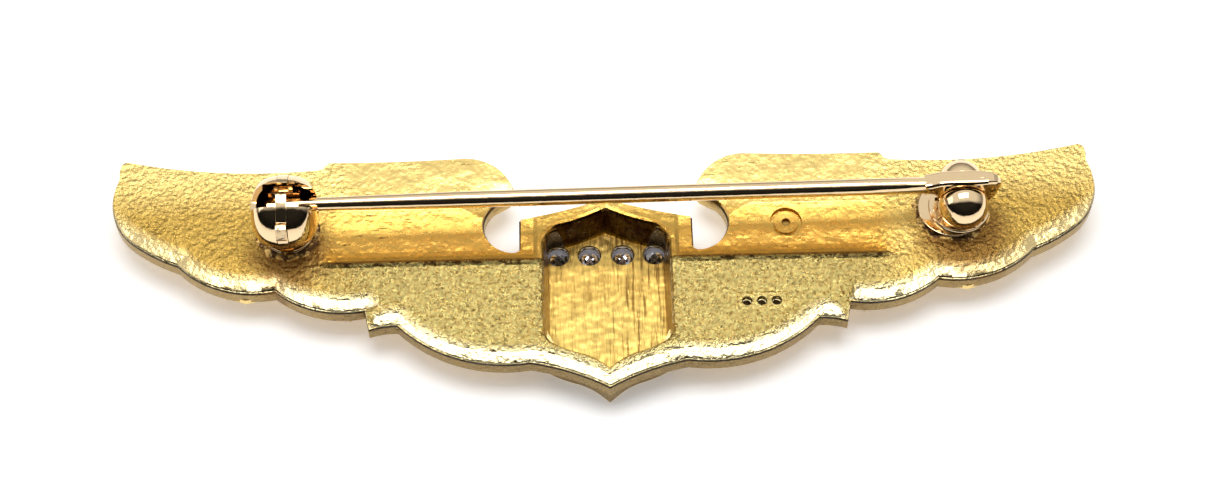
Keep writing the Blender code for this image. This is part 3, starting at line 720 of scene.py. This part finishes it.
def feathers(gold):
    """Three tiers of feathers on each wing's front, fanned from the shoulder."""
    outline = mirrored_outline(WING_HALF)
    hub = Vector((8.2, 3.6 + Y_SHIFT))
    tiers = [("primary", 15, 4.2, -114.0, 0.42, 0.99, 1.55, 0.42),
             ("secondary", 14, 5.0, -116.0, 0.28, 0.74, 1.3, 0.4),
             ("covert", 12, 2.0, -120.0, 0.12, 0.52, 1.02, 0.36),
             ("scapular", 9, -4.0, -124.0, 0.0, 0.31, 0.76, 0.3)]
    for word, count, first, last, inner, outer, z, lift in tiers:
        bm = bmesh.new()
        for index in range(count):
            angle = math.radians(first + (last - first) * index / (count - 1))
            way = Vector((math.cos(angle), math.sin(angle)))
            reach = reach_to_edge(outline, hub, angle) - 0.12
            middle = reach * (inner + outer) / 2
            width = 1.5 * middle * math.radians(abs(last - first)) / (count - 1)
            feather(bm, hub + way * reach * inner, hub + way * reach * outer, width, z, lift)
        bmesh.ops.duplicate(bm, geom=bm.verts[:] + bm.edges[:] + bm.faces[:])
        half = len(bm.verts) // 2
        bm.verts.ensure_lookup_table()
        bmesh.ops.scale(bm, vec=(-1, 1, 1), verts=bm.verts[half:])
        piece(f"feathers_{word}", bm, "badge", gold)


# ---------------------------------------------------------------- catch


def ball_radius(along, width=BALL_HALF_WIDTH, radius=BALL_R):
    part = min(1.0, abs(along) / width)
    return radius * (1 - part ** BALL_POWER) ** (1 / BALL_POWER)


def catch_shell(word, side, gold):
    slot, wall, web = 0.33, 0.3, 0.2
    outer, inner = [], []
    for step in range(25):
        along = slot + (BALL_HALF_WIDTH - slot) * math.sin(math.radians(90 * step / 24))
        outer.append((along, ball_radius(along)))
    for step in range(17):
        along = slot + web + (BALL_HALF_WIDTH - wall - slot - web) * math.cos(math.radians(90 * step / 16))
        inner.append((along, ball_radius(along, BALL_HALF_WIDTH - wall, BALL_R - wall)))
    profile = outer + inner + [(slot + web, 1.2), (slot, 1.2)]
    shell = piece(f"ball_half_{word}",
                  spun([(side * along, radius) for along, radius in profile], "X", 128, CATCH),
                  "badge", gold, f"catch_shell_{word}")
    tangent = math.tan(math.radians(24))
    wedge = bmesh.new()
    ring = [wedge.verts.new((CATCH.x - 3, CATCH.y + y, CATCH.z + z))
            for y, z in ((-0.3, 0.67), (-4 * tangent, 4), (4 * tangent, 4), (0.3, 0.67))]
    extrude(wedge, wedge.faces.new(ring), (6, 0, 0))
    cutters = [tool("opening", wedge)]
    passage_low = CATCH + Vector((-PASSAGE_REACH, STEM_OFF_CENTRE - PASSAGE_HALF, 0))
    passage_high = CATCH + Vector((PASSAGE_REACH, STEM_OFF_CENTRE + PASSAGE_HALF, 4))
    cutters.append(tool("passage", block(passage_low, passage_high)))
    cutters.append(tool("foot", block(CATCH + Vector((-4, -4, -6)), CATCH + Vector((4, 4, -2.02)))))
    if side > 0:
        low = (CATCH.x + 0.9, STEM_TIP_Y - 0.5, STEM_Z - 0.55)
        cutters.append(tool("stem_notch", block(low, (CATCH.x + 4, STEM_TIP_Y + 0.56, CATCH.z + 4))))
    combine(shell, cutters, "DIFFERENCE")
    soften(shell, 0.08)


def soften(obj, width, angle=42):
    """Small rounded edges, which catch the light as polished ones do."""
    modifier = obj.modifiers.new("edges", "BEVEL")
    modifier.width = width * MM
    modifier.segments = 2
    modifier.limit_method = "ANGLE"
    modifier.angle_limit = math.radians(angle)
    modifier.harden_normals = True


def catch_rotor(gold):
    half, ring, hub, bore = 0.3, 2.14, 1.15, 0.88
    profile = [(-0.9, bore), (-0.9, hub), (-half, hub), (-half, ring),
               (half, ring), (half, hub), (0.9, hub), (0.9, bore)]
    rotor = piece("latch", spun(profile, "X", 128, CATCH), "latch", gold, "catch_rotor")
    lever = bmesh.new()
    middle = math.radians(152)
    corners = [(1.7, -0.26), (2.55, -0.2), (2.7, -0.12), (2.7, 0.12), (2.55, 0.2), (1.7, 0.26)]
    tab = []
    for radius, spread in corners:
        angle = middle + spread
        tab.append(lever.verts.new(
            CATCH + Vector((-half, radius * math.cos(angle), radius * math.sin(angle)))))
    extrude(lever, lever.faces.new(tab), (2 * half, 0, 0))
    combine(rotor, [tool("lever", lever)], "UNION")
    combine(rotor, [tool("slot", block(CATCH + Vector((-3, -0.14, 0)), CATCH + Vector((3, 0.7, 4))))],
            "DIFFERENCE")
    soften(rotor, 0.05)


def catch_base(gold):
    at = (CATCH.x, CATCH.y, BACK_Z)
    profile = [(0.03, 0), (0.34, 0), (0.34, 1.3)] + round_corner((0.22, 1.38), 0.12, 0, 90) + [(0.03, 1.5)]
    base = piece("catch_foot", spun(profile, "Z", 96, at), "badge", gold, "catch_base")
    groove = block((at[0] - 0.36, at[1] - 4, BACK_Z + 0.17), (at[0] + 0.36, at[1] + 4, BACK_Z + 2))
    combine(base, [tool("groove", groove)], "DIFFERENCE")


# ---------------------------------------------------------------- joint and stem


def joint_base(gold):
    pad = [(0.03, 0), (0.22, 0), (0.22, 1.9)] + round_corner((0.15, 1.9), 0.07, 0, 90) + [(0.03, 1.97)]
    base = piece("joint_foot", spun(pad, "Z", 96, (HINGE.x - FOOT_BACK, HINGE.y, BACK_Z)),
                 "badge", gold, "joint_base")
    collar = [(0.1, 0), (0.42, 0), (0.42, 1.68)] + round_corner((0.3, 1.7), 0.12, 0, 90) + [(0.1, 1.82)]
    combine(base, [tool("collar", spun(collar, "Z", 96, (HINGE.x, HINGE.y, BACK_Z)))], "UNION")
    low, high = HINGE.y - 0.6, HINGE.y + 0.6
    slots = [block((HINGE.x - 0.4, low, BACK_Z - 1), (HINGE.x + 4, high, BACK_Z + 2)),
             block((HINGE.x - 1.4, low, BACK_Z + 0.24), (HINGE.x + 4, high, BACK_Z + 2))]
    combine(base, [tool("slot", bm) for bm in slots], "DIFFERENCE")


def joint_cheek(word, side, radius, gold):
    face, inset = TONGUE_HALF + 0.04, 0.2
    profile = [(face, 0.37), (face, radius - 0.12)] + [
        (face + 0.1 - 0.1 * math.cos(math.radians(angle)),
         radius - 0.12 + 0.1 * math.sin(math.radians(angle)))
        for angle in (30, 60, 90)]
    profile += [(face + inset + radius * math.sin(math.radians(angle)),
                 radius * math.cos(math.radians(angle)))
                for angle in range(0, 91, 5)]
    profile += [(1.3, 0.0), (1.3, 0.37)]
    cheek = piece(f"joint_dome_{word}",
                  spun([(side * along, size) for along, size in profile], "Y", 96, HINGE),
                  "badge", gold, f"joint_cheek_{word}")
    foot = block((HINGE.x - 4, HINGE.y - 8, BACK_Z - 3), (HINGE.x + 4, HINGE.y + 8, BACK_Z + 0.45))
    combine(cheek, [tool("foot", foot)], "DIFFERENCE")


def joint_rivet(gold):
    reach = TONGUE_HALF + 0.74
    profile = [(-reach, 0), (reach, 0)] + round_corner((reach - 0.06, 0.3), 0.06, 0, 90, 3)
    profile += round_corner((0.06 - reach, 0.3), 0.06, 90, 180, 3)
    piece("rivet", spun(profile, "Y", 64, HINGE), "badge", gold, "joint_rivet")


def pin_stem(gold):
    root = Vector((HINGE.x - 1.45, HINGE.y, STEM_Z))
    tip = Vector((STEM_TIP_X, STEM_TIP_Y, STEM_Z))
    length = (tip - root).length
    taper = (root.x + 9.0) / (root.x - tip.x) * length
    profile = [(0, 0), (0, 0.49)] + [(taper * step / 6, 0.49) for step in range(1, 7)]
    profile += [(taper + (length - 0.7 - taper) * step / 8, 0.49 - 0.13 * step / 8) for step in range(1, 9)]
    for degrees in range(15, 91, 15):
        angle = math.radians(degrees)
        profile.append((length - 0.7 + 0.7 * math.sin(angle), 0.36 * math.cos(angle)))
    wire = spun(profile, "X", 48)
    turn = Vector((1, 0, 0)).rotation_difference(tip - root).to_matrix().to_4x4()
    bmesh.ops.transform(wire, matrix=Matrix.Translation(root) @ turn, verts=wire.verts)
    stem = piece("stem", wire, "stem", gold, "pin_stem")
    blade = bmesh.new()
    ring = [blade.verts.new(HINGE + Vector((x, -TONGUE_HALF, z))) for x, z in TONGUE]
    extrude(blade, blade.faces.new(ring), (0, 2 * TONGUE_HALF, 0))
    rims = [edge for edge in blade.edges if abs(edge.verts[0].co.y - edge.verts[1].co.y) < 0.1]
    bmesh.ops.bevel(blade, geom=rims, offset=0.2, segments=4, affect="EDGES", profile=0.5, material=-1)
    for step in range(12):
        bmesh.ops.bisect_plane(blade, geom=blade.verts[:] + blade.edges[:] + blade.faces[:],
                               plane_co=HINGE + Vector((TONGUE_ROUND_X + 0.14 * step, 0, 0)),
                               plane_no=(1, 0, 0))
    for vert in blade.verts:
        past = max(0.0, vert.co.x - HINGE.x - TONGUE_ROUND_X) / TONGUE_ROUND_LENGTH
        vert.co.y = HINGE.y + (vert.co.y - HINGE.y) * math.sqrt(max(0.1, 1 - past * past))
    combine(stem, [tool("tongue", blade)], "UNION")
    combine(stem, [tool("bore", spun([(-2, 0), (2, 0), (2, 0.4), (-2, 0.4)], "Y", 48, HINGE))], "DIFFERENCE")


def solder(name, at, inner, outer, height, seed, gold):
    """An uneven fillet of solder round a base."""
    profile = [(0.0, inner), (height, inner)]
    for step in range(1, 6):
        part = step / 6
        profile.append((height * (1 - part) ** 2, inner + (outer - inner) * part))
    profile.append((0.0, outer))
    bm = spun(profile, "Z", 72, (at[0], at[1], BACK_Z))
    middle = Vector((at[0], at[1], BACK_Z))
    for vert in bm.verts:
        away = vert.co - middle
        flow = noise.noise(Vector((away.x * 1.3, away.y * 1.3, seed)))
        rough = noise.noise(Vector((away.x * 5, away.y * 5, seed + 3)))
        vert.co.x += away.x * 0.12 * flow
        vert.co.y += away.y * 0.12 * flow
        vert.co.z += max(0.0, away.z) * (0.5 * flow + 0.6 * rough)
    piece(name, bm, "badge", gold)


# ---------------------------------------------------------------- stage

def floor():
    bm = bmesh.new()
    bmesh.ops.create_grid(bm, x_segments=1, y_segments=1, size=600)
    bmesh.ops.scale(bm, vec=(MM, MM, MM), verts=bm.verts)
    mesh = bpy.data.meshes.new("floor")
    bm.to_mesh(mesh)
    bm.free()
    obj = bpy.data.objects.new("floor", mesh)
    bpy.context.scene.collection.objects.link(obj)
    material, _, shader = new_material("pale_floor", (0.93, 0.93, 0.93), 0.0, 0.6)
    shader.inputs["Emission Color"].default_value = (1, 1, 1, 1)
    shader.inputs["Emission Strength"].default_value = 0.27
    mesh.materials.append(material)


def area_light(name, place_mm, aim_mm, size_mm, power, shape="RECTANGLE"):
    data = bpy.data.lights.new(name, "AREA")
    data.shape = shape
    data.size, data.size_y = size_mm[0] * MM, size_mm[1] * MM
    data.energy = power
    obj = bpy.data.objects.new(name, data)
    obj.location = Vector(place_mm) * MM
    obj.rotation_mode = "QUATERNION"
    obj.rotation_quaternion = (Vector(aim_mm) - Vector(place_mm)).to_track_quat("-Z", "Y")
    bpy.context.scene.collection.objects.link(obj)


def camera():
    tilt, turn, roll = math.radians(32.0), math.radians(-1.52), math.radians(-1.674)
    back = Vector((math.sin(turn) * math.sin(tilt), -math.cos(turn) * math.sin(tilt), math.cos(tilt)))
    look = Vector((-0.063, Y_SHIFT, BACK_Z)) * MM
    data = bpy.data.cameras.new("camera")
    data.sensor_width = 36
    data.lens = 76.7
    data.clip_start = 0.001
    obj = bpy.data.objects.new("camera", data)
    right = Vector((0, 1, 0)).cross(back).normalized()
    up = back.cross(right)
    turned = Matrix((right, up, back)).transposed() @ Matrix.Rotation(roll, 3, "Z")
    obj.rotation_mode = "QUATERNION"
    obj.rotation_quaternion = turned.to_quaternion()
    obj.location = look + back * 0.150
    bpy.context.scene.collection.objects.link(obj)
    bpy.context.scene.camera = obj


def studio():
    """A light tent: bright overhead and behind, dark where the photographer stands."""
    world = bpy.data.worlds.new("studio")
    world.use_nodes = True
    tree = world.node_tree
    background = tree.nodes["Background"]
    way = add_node(tree, "ShaderNodeSeparateXYZ",
                   {0: add_node(tree, "ShaderNodeTexCoord").outputs["Generated"]})
    front = math_node(tree, "ADD", way.outputs["Y"], math_node(tree, "MULTIPLY", way.outputs["Z"], 0.35))
    shade = between(tree, front, -0.1, 0.1, 0.02, 0.8)
    horizon = between(tree, way.outputs["Z"], 0.15, 0.65, 0.35, 1.0)
    shade = math_node(tree, "MULTIPLY", shade, horizon)
    seen = add_node(tree, "ShaderNodeLightPath").outputs["Is Camera Ray"]
    tree.links.new(blend_color(tree, seen, blend_color(tree, shade, (0, 0, 0), (1, 1, 1)), (1, 1, 1)),
                   background.inputs["Color"])
    background.inputs["Strength"].default_value = 1.0
    bpy.context.scene.world = world
    area_light("overhead", (0, 32, 200), (0, 0, 0), (150, 84), 0.22)
    area_light("side", (-170, 20, 90), (0, 0, 0), (90, 90), 0.03)


def main():
    camera()
    floor()
    studio()
    blasted, brushed, polished = blasted_gold(), brushed_gold(), polished_gold()
    struck, soldered, glass = struck_gold(), solder_gold(), stone_glass()
    badge(blasted, brushed, struck)
    stripes(struck)
    beads(struck)
    stones(glass)
    feathers(struck)
    catch_base(polished)
    catch_shell("left", -1, polished)
    catch_shell("right", 1, polished)
    catch_rotor(polished)
    joint_base(polished)
    joint_cheek("near", -1, 1.45, polished)
    joint_cheek("far", 1, 1.32, polished)
    joint_rivet(polished)
    pin_stem(polished)
    solder("catch_solder", CATCH, 1.4, 1.85, 0.22, 4.0, soldered)
    solder("joint_solder", (HINGE.x - FOOT_BACK, HINGE.y), 1.9, 2.2, 0.14, 9.0, soldered)
    bpy.context.scene.view_settings.view_transform = "Standard"


main()
